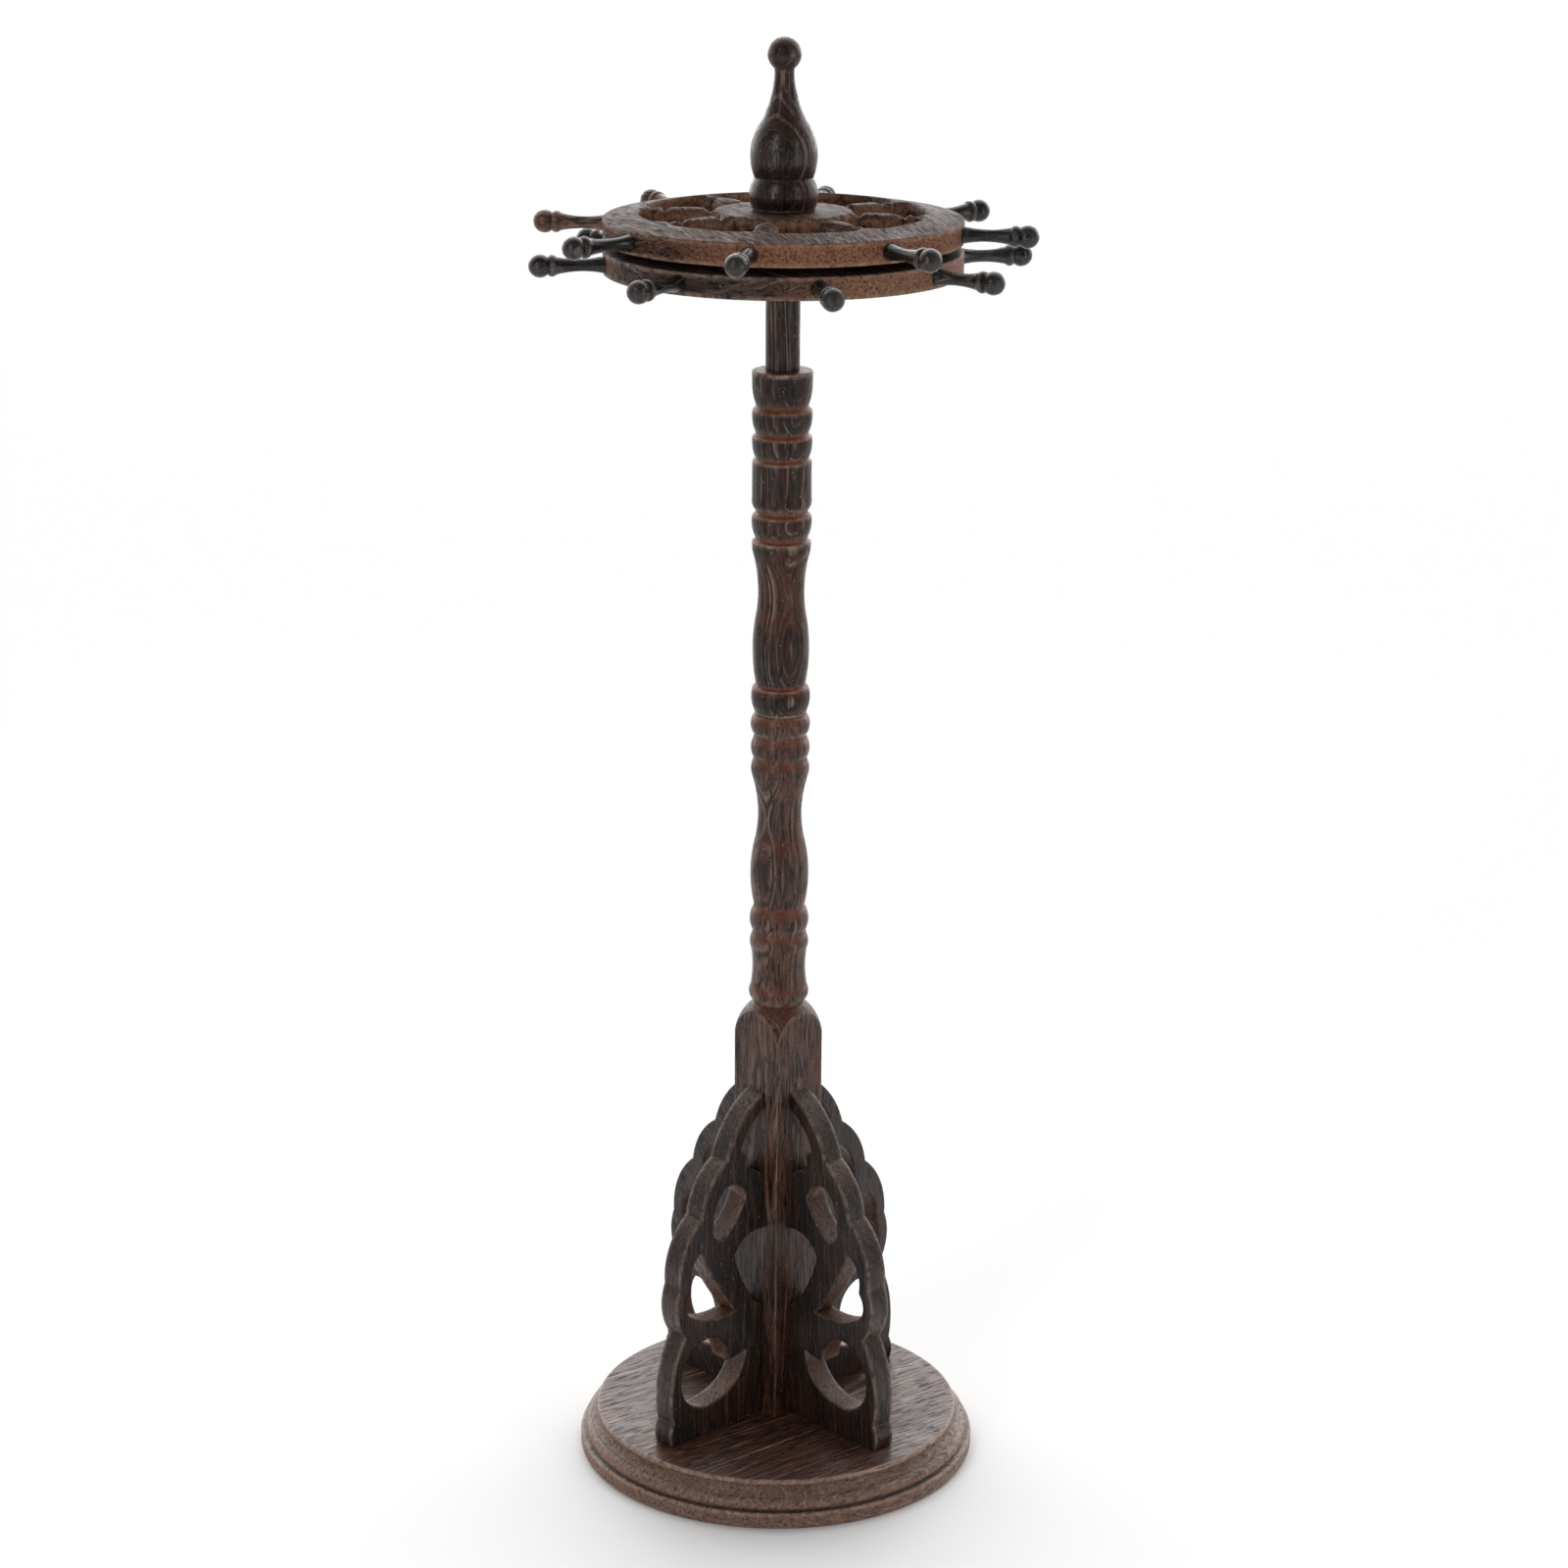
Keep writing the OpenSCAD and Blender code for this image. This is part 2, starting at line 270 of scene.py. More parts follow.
def within(points, outer, holes):
    """Which points lie on a pierced board."""
    found = inside(points, outer)
    for hole in holes:
        found &= ~inside(points, hole)
    return found


def anticlockwise(loop):
    """Whether a closed loop runs anticlockwise."""
    return (loop[:, 0] * np.roll(loop[:, 1], -1) - np.roll(loop[:, 0], -1) * loop[:, 1]).sum() > 0


BATCH = 2000


def distance(points, loops):
    """Each point's distance to the nearest of the loops."""
    best = np.full(len(points), 1e9)
    for loop in loops:
        a, way = loop, np.roll(loop, -1, 0) - loop
        length = np.maximum((way**2).sum(1), 1e-12)
        for start in range(0, len(points), BATCH):
            p = points[start : start + BATCH]
            rel = p[:, None, :] - a[None]
            t = np.clip((rel * way).sum(2) / length, 0, 1)
            off = rel - t[..., None] * way
            nearest = np.sqrt((off**2).sum(2)).min(1)
            best[start : start + BATCH] = np.minimum(best[start : start + BATCH], nearest)
    return best


def inset(loop, depth, hole):
    """The loop moved into the board by depth, away from its edge."""
    way = np.roll(loop, -1, 0) - np.roll(loop, 1, 0)
    normal = np.stack([-way[:, 1], way[:, 0]], 1)
    normal /= np.maximum(np.hypot(*normal.T), 1e-9)[:, None]
    side = 1 if anticlockwise(loop) else -1
    return loop + normal * depth * side * (-1 if hole else 1)


def board_layout(outer, holes, depths, pitch):
    """Triangles that fill a board's outline, finer near its edges, and each point's distance to an edge."""
    loops = [outer] + holes
    edge_points = np.concatenate(loops)
    edges = []
    first = 0
    for loop in loops:
        edges += [(first + i, first + (i + 1) % len(loop)) for i in range(len(loop))]
        first += len(loop)
    low, high = outer.min(0), outer.max(0)
    rows = np.arange(low[1], high[1], pitch * 0.866)
    across = np.arange(low[0], high[0], pitch)
    grid = np.array([(x + (pitch / 2 if r % 2 else 0), y) for r, y in enumerate(rows) for x in across])
    kept = []
    for depth in depths:
        ring = np.concatenate([inset(loop, depth, k > 0) for k, loop in enumerate(loops)])
        kept.append(ring[distance(ring, loops) > depth * 0.93])
    kept.append(grid[distance(grid, loops) > depths[-1] + pitch * 0.45])
    inner = np.concatenate(kept)
    inner = inner[within(inner, outer, holes)]
    points = np.concatenate([edge_points, inner])
    result = delaunay_2d_cdt([Vector(p) for p in points], edges, [], 0, 1e-5)
    flat = np.array([tuple(v) for v in result[0]])
    triangles = np.array([f for f in result[2] if len(f) == 3])
    triangles = triangles[within(flat[triangles].mean(1), outer, holes)]
    a, b, c = (flat[triangles[:, i]] for i in range(3))
    area = (b[:, 0] - a[:, 0]) * (c[:, 1] - a[:, 1]) - (b[:, 1] - a[:, 1]) * (c[:, 0] - a[:, 0])
    triangles[area < 0] = triangles[area < 0][:, ::-1]
    return flat, triangles, len(edge_points), [len(loop) for loop in loops]


FACE_WEAR = 0.3  # how far from an edge the wear reaches on the faces, and on the walls
WALL_WEAR = 0.25


def carved_board(name, outer, holes, top, bottom, depths, pitch, wall_rows):
    """A pierced board whose faces round over towards its edges.

    top and bottom give the height of each face from the points and their distances to the
    outer edge and to the openings. The wall attribute is 1 on the walls of the openings.
    """
    flat, triangles, edge_count, sizes = board_layout(outer, holes, depths, pitch)
    to_outer = distance(flat, [outer])
    to_holes = distance(flat, holes)
    to_outer[: sizes[0]] = 0
    to_holes[sizes[0] : edge_count] = 0
    high = top(flat, to_outer, to_holes)
    low = bottom(flat, to_outer, to_holes)
    near = np.minimum(to_outer, to_holes)
    count = len(flat)
    points = [(x, y, z) for (x, y), z in zip(flat, high)] + [(x, y, z) for (x, y), z in zip(flat, low)]
    faces = [tuple(t) for t in triangles] + [tuple(t[::-1] + count) for t in triangles]
    wear = list(np.exp(-((near / FACE_WEAR) ** 2))) * 2
    wall = [0.0] * (2 * count)
    first = 0
    for k, size in enumerate(sizes):
        rows = [[first + i for i in range(size)]]
        for r in range(1, wall_rows):
            share = r / wall_rows
            row = []
            for i in range(size):
                z = high[first + i] * (1 - share) + low[first + i] * share
                row.append(len(points))
                points.append((flat[first + i][0], flat[first + i][1], z))
                depth = (high[first + i] - low[first + i]) * min(share, 1 - share)
                wear.append(math.exp(-((depth / WALL_WEAR) ** 2)))
                wall.append(1.0 if k else 0.0)
            rows.append(row)
        rows.append([first + i + count for i in range(size)])
        turned_in = anticlockwise(flat[first : first + size]) == (k == 0)
        for upper, lower in zip(rows, rows[1:]):
            for i in range(size):
                j = (i + 1) % size
                quad = (upper[i], lower[i], lower[j], upper[j])
                faces.append(quad if turned_in else quad[::-1])
        first += size
    return new_piece(name, points, faces, {"wear": wear, "groove": [0.0] * len(points), "wall": wall})


def round_over(depth, radius):
    """How far a face has dropped at a depth from its edge, with a round of that radius."""
    rest = np.clip(radius - depth, 0, radius)
    return radius - np.sqrt(np.maximum(radius**2 - rest**2, 0))


# ---- base ----
STEPS_R = BASE_R - 5.8  # outside it the base shows its stepped side
base_outline = [
    [BASE_R - 1, 0, 0.15],
    [BASE_R, 1.2, 0],
    [BASE_R, BASE_H - 9.8, 0.35],
    [BASE_R - 0.9, BASE_H - 8.7, 0],
    [BASE_R - 1.6, BASE_H - 8.5, 0],
    [BASE_R - 1.5, BASE_H - 8, 0.7],
    [BASE_R - 3.2, BASE_H - 4.9, 0],
    [BASE_R - 3.5, BASE_H - 4.7, 0],
    [BASE_R - 3.5, BASE_H - 4.4, -0.35],
    [BASE_R - 5.4, BASE_H - 1.6, 0],
    [BASE_R - 5.2, BASE_H - 1.3, 0.4],
    [BASE_R - 6.1, BASE_H, 0],
    [0, BASE_H, 0],
]


# ---- column ----
lower_outline = [
    [GROOVE_R - 0.1, BASE_H + 136.9, 0],
    [GROOVE_R + 0.2, BASE_H + 137.6, 0.85],
    [RING_R - 0.2, BASE_H + 142.4, -0.5],
    [RING_R - 0.3, BASE_H + 154.8, 0.55],
    [GROOVE_R + 0.5, BASE_H + 159.6, 0],
    [GROOVE_R + 0.4, BASE_H + 160.8, 0.85],
    [GROOVE_R + 0.4, BASE_H + 167.8, 0],
    [GROOVE_R - 0.1, BASE_H + 168.6, 1.35],
    [RING_R - 1.5, BASE_H + 190.8, -1],
    [GROOVE_R + 0.1, BASE_H + 208.5, 0],
    [RING_R - 0.3, BASE_H + 211.2, 0.45],
    [GROOVE_R + 0.4, BASE_H + 215.9, 0],
    [GROOVE_R + 0.4, BASE_H + 216.7, 0.75],
    [GROOVE_R + 0.4, BASE_H + 222.6, 0],
    [GROOVE_R + 0.1, BASE_H + 223.8, 1.05],
    [GROOVE_R + 0.2, JOINT_Z - 0.15, 0],
    [GROOVE_R - 0.3, JOINT_Z, 0],
    [2, JOINT_Z, 0],
]
upper_outline = [
    [2, JOINT_Z, 0],
    [GROOVE_R - 0.3, JOINT_Z, 0],
    [GROOVE_R, JOINT_Z + 0.15, 0],
    [GROOVE_R + 0.2, JOINT_Z + 1.2, 0.7],
    [GROOVE_R + 0.6, JOINT_Z + 8.6, 0],
    [GROOVE_R - 0.4, JOINT_Z + 9, 1.12],
    [RING_R - 1.5, JOINT_Z + 32, -1.05],
    [RING_R - 0.1, JOINT_Z + 51.2, 0],
    [RING_R, JOINT_Z + 53.9, 0],
    [GROOVE_R, JOINT_Z + 54.6, 0],
    [GROOVE_R + 0.1, JOINT_Z + 55.3, 0.55],
    [RING_R - 0.05, JOINT_Z + 62, 0],
    [GROOVE_R, JOINT_Z + 62.8, 0],
    [GROOVE_R, JOINT_Z + 63.5, 0.5],
    [RING_R, JOINT_Z + 67.4, 0],
    [RING_R - 0.03, JOINT_Z + 78.6, 0],
    [GROOVE_R + 0.1, JOINT_Z + 79.3, 0.45],
    [RING_R, JOINT_Z + 86, 0],
    [GROOVE_R, JOINT_Z + 87, 0.5],
    [RING_R, JOINT_Z + 94.1, 0],
    [GROOVE_R - 0.1, JOINT_Z + 95.2, 0.35],
    [RING_R + 0.1, JOINT_Z + 102.2, 0],
    [RING_R + 0.2, JOINT_Z + 105.6, 0.1],
    [RING_R - 0.2, COLUMN_TOP, 0],
    [ROD_R, COLUMN_TOP, 0],
]
SHOULDER_Z = BASE_H + 124
SHOULDER_SWELL = 1.8
POST_CORNER_R = POST_HALF * math.sqrt(2) - 0.1
POST_EASE = 0.5
POST_ROWS = 60
SHOULDER_STEPS = 400
SHOULDER_ROWS = 24
POST_SHARP = 28
# Bearings of the post's vertices from the middle of a face, closer together at its corners
CORNER_OFFSETS = (0.4, 0.9, 1.5, 2.2, 3.2)
POST_OFFSETS = sorted(
    [-45, *range(-44, 46, 4)] + [d - 45 for d in CORNER_OFFSETS] + [45 - d for d in CORNER_OFFSETS]
)


def post_reach(bearing):
    """Radius of the square post, with eased corners, at a bearing from the middle of a face."""
    turn = abs(math.radians((bearing + 45) % 90 - 45))
    flat = POST_HALF / math.cos(turn)
    centre = POST_HALF - POST_EASE
    along = centre * (math.cos(turn) + math.sin(turn))
    if flat * math.sin(turn) <= centre:
        return flat
    return along + math.sqrt(max(along**2 - 2 * centre**2 + POST_EASE**2, 0))


def lower_column():
    """A square post whose top is turned down in round shoulders, and the turned length above it."""
    first = np.array(lower_outline[0][:2])
    shoulder = np.array(bow([POST_CORNER_R, SHOULDER_Z], first, SHOULDER_SWELL, SHOULDER_STEPS) + [first])
    widest = int(np.argmax(shoulder[:, 0]))
    shoulder = shoulder[widest:]
    bearings = [face * 90 + d for face in range(4) for d in POST_OFFSETS]
    # rust here puts rust on the shoulders that face up and a painted highlight on those that face down.
    turned, worn, deep = eased_profile(lower_outline, rust=0.9)
    columns = []
    for bearing in bearings:
        reach = min(post_reach(bearing), shoulder[0][0])
        start = int(np.argmin(np.abs(shoulder[:, 0] - reach)))
        foot, arch = BASE_H, shoulder[start][1]
        column = [(reach, foot + (arch - foot) * i / POST_ROWS, 0.0) for i in range(POST_ROWS)]
        column += [(reach, arch - 0.25, 0.35), (reach, arch, 0.6)]
        for i in range(1, SHOULDER_ROWS):
            r, z = shoulder[start + (len(shoulder) - 1 - start) * i // SHOULDER_ROWS]
            column.append((r, z, 0.0))
        column += [(r, z, w) for (r, z), w in zip(turned, worn)]
        corner = 0.25 * math.exp(-((min(bearing % 90, 90 - bearing % 90) - 45) / 1.5) ** 2)
        columns.append([(r, z, max(w, corner if z <= arch else 0)) for r, z, w in column])
    rows = len(columns[0])
    count = len(bearings)
    points, wear = [], []
    for k in range(rows):
        for bearing, column in zip(bearings, columns):
            r, z, w = column[k]
            angle = math.radians(bearing + 45)
            points.append((r * math.cos(angle), r * math.sin(angle), z))
            wear.append(w)
    groove = [0.0] * (count * (rows - len(turned))) + list(np.repeat(deep, count))
    faces = grid_faces(rows, count)
    faces.append(tuple(range(count))[::-1])
    faces.append(tuple(range((rows - 1) * count, rows * count)))
    return new_piece("turned_post", points, faces, {"wear": wear, "groove": groove}, sharp=POST_SHARP)


# ---- rod ----
SHOULDER_GAP = 0.3  # between the rod's shoulder and the lower wheel
rod_outline = [
    [ROD_R, COLUMN_TOP - 5, 0],
    [ROD_R, LOWER_WHEEL_Z - SHOULDER_GAP, 0],
    [JOURNAL_R, LOWER_WHEEL_Z - SHOULDER_GAP, 0],
    [JOURNAL_R, FINIAL_Z + 4, 0],
]

# ---- finial ----
FINIAL_H = FINIAL_TOP - FINIAL_Z
finial_neck = FINIAL_H - ball_rise(FINIAL_BALL_R, FINIAL_NECK_R)
finial_outline = [
    [4.2, 0, 0],
    [9.2, 0, 1.2],
    [8.7, 9.4, 0],
    [8.9, 9.8, 2.1],
    [6.45, finial_neck - 14.9, -0.6],
    [FINIAL_NECK_R, finial_neck - 2.3, -0.1],
    [FINIAL_NECK_R, finial_neck, ball_swell(FINIAL_BALL_R, FINIAL_NECK_R)],
    [0, FINIAL_H, 0],
]

# ---- pegs ----
# The vertex of each peg that is farthest from the tree's axis
peg_tips = {
    node: max((v.co for v in nodes[node].data.vertices), key=lambda p: p.x**2 + p.y**2) / MM
    for node in nodes
    if "_peg_" in node
}
PEG_REACH = max(math.hypot(tip.x, tip.y) for tip in peg_tips.values())
TIP_GAP = 0.03  # keeps the smooth balls inside the faceted ones of the CAD
PEG_L = PEG_REACH - WHEEL_R - TIP_GAP
peg_neck = PEG_L - ball_rise(PEG_BALL_R, PEG_NECK_R)
peg_outline = [
    [PEG_ROOT_R - 0.1, -0.1, 0],
    [PEG_ROOT_R, 0.1, 0],
    [PEG_ROOT_R - 0.1, 0.5, -0.75],
    [PEG_BALL_R - 0.8, peg_neck - 2.5, 0],
    [PEG_BALL_R - 0.5, peg_neck - 2.2, 0.3],
    [PEG_BALL_R - 0.5, peg_neck - 0.3, 0],
    [PEG_NECK_R, peg_neck, ball_swell(PEG_BALL_R, PEG_NECK_R)],
    [0, PEG_L, 0],
]

# ---- brackets: outlines in hundredths of reach and height, from the post's face ----
bracket_edge = [
    [0, 0, 0], [100, 0, 0.9],
    [98.5, 7.3, 2.7], [85.6, 32.9, 2.3], [90.7, 48.6, 2.9],
    [67, 67.6, 2.2], [39.7, 82.6, 2.6], [0, 100, 0],
    [0, 95, -1.3], [24.7, 84.6, 0.4], [17.5, 81.9, -1.4], [11.3, 77.4, 0.4], [0, 74.7, 0],
    [0, 58, -2.6], [31.2, 52.5, -1.2], [5.7, 35.2, 0], [0, 34.2, 0],
]
bracket_openings = [
    [[20.2, 69.8, 1.1], [45.5, 58.8, 1.5], [54, 64.2, 1.6], [41, 74.6, 2.2]],
    [[30.9, 35.4, 1.9], [78.6, 38.6, 2.3], [79.4, 46.9, 2], [68.2, 57.4, -0.9]],
    [[19.3, 22.1, 3.6], [54.6, 9.6, 4.6], [89.7, 19.6, 3.5], [58.5, 30, 2.2], [39.2, 20.8, -0.3]],
]
BRACKET_EASE = 0.6
BRACKET_RINGS = [0.06, 0.2, 0.42, 0.75, 1.3]  # how deep its rings of vertices lie from every edge


def on_board(stops):
    """Stops of a bracket in millimetres."""
    return [
        [POST_HALF + BRACKET_REACH * x / 100, BASE_H + BRACKET_H * y / 100, swell] for x, y, swell in stops
    ]


def bracket(name):
    """A fretsawn board, drawn flat with its inner edge where one face of the post is."""
    outer = ring_path(on_board(bracket_edge), 0.5)
    holes = [ring_path(on_board(s), 0.5) for s in bracket_openings]

    def face(flat, to_outer, to_holes):
        return BRACKET_T / 2 - round_over(np.minimum(to_outer, to_holes), BRACKET_EASE)

    def back(flat, to_outer, to_holes):
        return -face(flat, to_outer, to_holes)

    return carved_board(name, outer, holes, face, back, BRACKET_RINGS, 2.0, wall_rows=6)


# ---- wheels ----
spoke_side = [
    [HUB_R, 4, 0.6],
    [HUB_R + 2.4, 2.3, -1.3],
    [RIM_IN_R - 7.2, 2.1, -0.7],
    [RIM_IN_R - 3.8, 2.3, 0.8],
    [RIM_IN_R - 0.7, 5.2, 0],
]
HUB_LOBE = 0.9
OPENING_EASE = 1.1
SPOKE_EASE = 1.5  # added to the ease of the openings along the spokes
RIM_EASE = 0.55
WHEEL_RINGS = [0.1, 0.3, 0.6, 1.0, 1.6, 2.3]
# Coves across the top of each spoke: radius, depth and width
SPOKE_COVES = [(HUB_R + 2.2, 1.3, 1.2), (RIM_IN_R - 7.4, 1.2, 1.0), (RIM_IN_R - 3.6, 0.8, 0.8)]


def turned_by(points, degrees):
    """Points turned about the origin."""
    c, s = math.cos(math.radians(degrees)), math.sin(math.radians(degrees))
    return np.asarray(points) @ np.array([[c, s], [-s, c]])


def wheel_opening():
    """Outline of the opening between two spokes, about the X axis."""
    side = turned_by(path(spoke_side, 0.45), -180 / PEG_COUNT)
    end, start = side[-1], side[0]
    rim_swell = math.hypot(*end) * (1 - math.cos(math.atan2(-end[1], end[0])))
    rim = bow(end, [end[0], -end[1]], rim_swell, 70)
    other = side[::-1] * [1, -1]
    dip = [start[0] - 0.4, 0]
    hub = bow([start[0], -start[1]], dip, -HUB_LOBE, 12) + bow(dip, start, -HUB_LOBE, 12)
    return np.concatenate([side[:-1], rim, other, hub[1:]])


def circle(radius, count):
    """Points round a circle."""
    angles = np.linspace(0, 2 * math.pi, count, False)
    return np.array([(radius * math.cos(a), radius * math.sin(a)) for a in angles])


def wheel(name):
    """A board turned and carved into a ship's wheel: round spokes, sloping rim and level hub."""
    opening = wheel_opening()
    outer, bore = circle(WHEEL_R, 400), circle(BORE_R, 48)
    holes = [turned_by(opening, 360 / PEG_COUNT * (i + 0.5)) for i in range(PEG_COUNT)] + [bore]

    def ease(flat):
        radius = np.hypot(*flat.T)
        on_spoke = np.clip((radius - HUB_R) / 2.5, 0, 1) * np.clip((RIM_IN_R - 0.5 - radius) / 3, 0, 1)
        return OPENING_EASE + SPOKE_EASE * on_spoke

    def rounding(flat, to_outer, to_holes):
        return np.maximum(round_over(to_holes, ease(flat)), round_over(to_outer, RIM_EASE))

    def top(flat, to_outer, to_holes):
        radius = np.hypot(*flat.T)
        stops = [HUB_R, RIM_IN_R, WHEEL_R - 0.5, WHEEL_R]
        slope = np.interp(radius, stops, [HUB_H, RIM_H + 1.7, RIM_H, RIM_H])
        coves = sum(deep * np.exp(-(((radius - at) / wide) ** 2)) for at, deep, wide in SPOKE_COVES)
        return slope - coves - rounding(flat, to_outer, to_holes)

    def bottom(flat, to_outer, to_holes):
        return 0.7 * rounding(flat, to_outer, to_holes)

    return carved_board(name, outer, holes, top, bottom, WHEEL_RINGS, 1.5, wall_rows=5)


# ---- materials ----
class Shader:
    """Short names for the nodes that the woods are made of."""

    def __init__(self, name):
        self.material = bpy.data.materials.new(name)
        self.material.use_nodes = True
        self.tree = self.material.node_tree
        self.bsdf = self.tree.nodes["Principled BSDF"]

    def node(self, kind, inputs=None, **settings):
        """A new node with its settings and its inputs fed."""
        made = self.tree.nodes.new(kind)
        for key, value in settings.items():
            setattr(made, key, value)
        for key, value in (inputs or {}).items():
            self.feed(made.inputs[key], value)
        return made

    def feed(self, socket, value):
        if isinstance(value, bpy.types.NodeSocket):
            self.tree.links.new(value, socket)
        else:
            socket.default_value = value

    def math(self, operation, a, b=0.0, clamp=False):
        return self.node("ShaderNodeMath", {0: a, 1: b}, operation=operation, use_clamp=clamp).outputs[0]

    def coords(self, scale):
        texture = self.node("ShaderNodeTexCoord").outputs["Object"]
        return self.node("ShaderNodeMapping", {"Vector": texture, "Scale": scale}).outputs[0]

    def noise(self, vector, scale, detail=3.0, rough=0.55):
        return self.node(
            "ShaderNodeTexNoise", {"Vector": vector, "Scale": scale, "Detail": detail, "Roughness": rough}
        ).outputs["Fac"]

    def remap(self, value, low, high, to_low=0.0, to_high=1.0):
        """A number stretched from one range to another and kept inside it."""
        return self.node(
            "ShaderNodeMapRange",
            {"Value": value, "From Min": low, "From Max": high, "To Min": to_low, "To Max": to_high},
        ).outputs["Result"]

    def mix(self, share, a, b):
        """A colour between a and b."""
        made = self.node("ShaderNodeMix", data_type="RGBA")
        for slot, value in ((0, share), (6, a), (7, b)):
            self.feed(made.inputs[slot], value)
        return made.outputs[2]

    def blend(self, share, a, b):
        """A number between a and b."""
        return self.math("ADD", a, self.math("MULTIPLY", share, self.math("SUBTRACT", b, a)))

    def attribute(self, name):
        return self.node("ShaderNodeAttribute", attribute_name=name).outputs["Fac"]


def rgb(r, g, b):
    """A display colour from 0 to 255 as scene-linear RGBA."""
    linear = [v / 255 / 12.92 if v <= 10 else ((v / 255 + 0.055) / 1.055) ** 2.4 for v in (r, g, b)]
    return (*linear, 1)


RING_CENTRE = 46.0  # how far off its heart the wood of each piece was cut, in millimetres
RUST = rgb(122, 71, 48)
# Colour of the pale specks, which are partly dust and partly painted glints.
DUST_AND_GLINT = rgb(165, 155, 148)


def wood(
    name, dark, light, red, worn, end,
    line=0.8, lines=0.5, roughness=0.34, wear=0.6, sheen=0.4, cut=0.9, raw=0.0, rusty=0.0,
):
    """Dark hardwood with pale growth lines, dark pores, worn edges, pale specks (dust and painted glints)
    and a satin wax.

    Its grain runs along the Z axis of the grain_at attribute, in millimetres. dark, light and red
    are its body colours, worn is that of its pale lines and edges, and of the painted highlights on
    shoulders that face down, and end that of its end grain. line is the lines' spacing, lines how
    strong they are, wear how worn its edges are and sheen how bright its wax is. cut is how much its
    end grain shows, raw how much of that colour the walls of its openings have, and rusty how red its
    grooves are; the rest of their depth is painted dark, as painted shade.
    """
    s = Shader(name)
    at = s.node("ShaderNodeAttribute", attribute_name="grain_at").outputs["Vector"]

    def stretched(scale, along, detail=3.0, rough=0.55):
        scaled = s.node("ShaderNodeMapping", {"Vector": at, "Scale": (1, 1, along)}).outputs[0]
        return s.noise(scaled, scale, detail, rough)

    # Growth lines round the heart of the tree
    place = s.node("ShaderNodeSeparateXYZ", {"Vector": at})
    x = s.math("ADD", place.outputs["X"], RING_CENTRE)
    reach = s.math("SQRT", s.math("ADD", s.math("POWER", x, 2.0), s.math("POWER", place.outputs["Y"], 2.0)))
    drift = s.math("MULTIPLY", s.math("SUBTRACT", stretched(0.08, 0.12, 2.0), 0.5), 5.0)
    lean = s.math("MULTIPLY", place.outputs["Z"], 0.03)
    ring = s.math("ADD", s.math("ADD", reach, lean), drift)
    bands = s.node(
        "ShaderNodeTexNoise",
        {"W": ring, "Scale": 1.0 / line, "Detail": 2.0, "Roughness": 0.7},
        noise_dimensions="1D",
    ).outputs["Fac"]
    broken = s.remap(stretched(0.35, 0.12), 0.38, 0.6)
    pale = s.math("MULTIPLY", s.remap(bands, 0.52, 0.68), broken)
    black_lines = s.remap(bands, 0.46, 0.34)

    # Colour along the grain
    fibre = stretched(0.9, 0.08, 4.0, 0.75)
    pores = s.remap(stretched(1.2, 0.14, 2.0, 0.5), 0.55, 0.62)
    patches = s.remap(stretched(0.05, 0.5, 3.0, 0.6), 0.42, 0.68)
    mottle = s.remap(stretched(0.16, 0.4, 3.0, 0.6), 0.3, 0.72)
    black = (*(v * 0.25 for v in dark[:3]), 1)
    colour = s.mix(s.remap(fibre, 0.44, 0.58), dark, light)
    colour = s.mix(s.math("MULTIPLY", mottle, 0.4), colour, dark)
    colour = s.mix(s.math("MULTIPLY", patches, 0.55), colour, red)
    across = s.math("SUBTRACT", 1.0, s.math("MULTIPLY", s.attribute("end"), 0.85), clamp=True)
    colour = s.mix(s.math("MULTIPLY", s.math("MULTIPLY", black_lines, 0.55), across), colour, black)
    colour = s.mix(s.math("MULTIPLY", s.math("MULTIPLY", pale, lines), across), colour, worn)

    # End grain and raw sawn walls
    grains = stretched(1.4, 0.5, 4.0, 0.75)
    cut_ends = s.math("MULTIPLY", s.attribute("end"), cut)
    ends = s.math("MAXIMUM", cut_ends, s.math("MULTIPLY", s.attribute("wall"), raw))
    colour = s.mix(ends, colour, s.mix(s.remap(grains, 0.36, 0.6, 0.15), dark, end))
    pits = s.blend(ends, s.math("MULTIPLY", pores, 0.9), s.remap(grains, 0.42, 0.34, 0.0, 0.45))
    colour = s.mix(pits, colour, black)

    # Grooves with rust and painted shade, edges with wear and painted highlights, specks of dust and
    # painted glints
    rust = s.mix(s.remap(grains, 0.36, 0.6), red, RUST)
    redness = s.remap(fibre, 0.42, 0.6, rusty, rusty * 0.7)
    grooves = s.math("MULTIPLY", s.attribute("groove"), redness, clamp=True)
    colour = s.mix(grooves, colour, rust)
    # Painted shade: grooves are darkened towards black, the less so the more rusty the wood.
    colour = s.mix(s.math("MULTIPLY", s.attribute("groove"), 0.8 * (1 - rusty)), colour, black)
    # Worn edges; on turned shoulders that face down, the wear values also paint a highlight.
    scuff = s.remap(s.noise(at, 0.4, 4.0, 0.7), 0.36, 0.6)
    edge = s.math("MULTIPLY", s.math("MULTIPLY", s.attribute("wear"), scuff), wear, clamp=True)
    colour = s.mix(edge, colour, worn)
    # Pale specks: partly dust, partly painted glints on the wax.
    dust_and_glints = s.remap(s.noise(at, 1.3, 1.0, 0.4), 0.74, 0.77)
    colour = s.mix(s.math("MULTIPLY", dust_and_glints, 0.5), colour, DUST_AND_GLINT)
    s.feed(s.bsdf.inputs["Base Color"], colour)

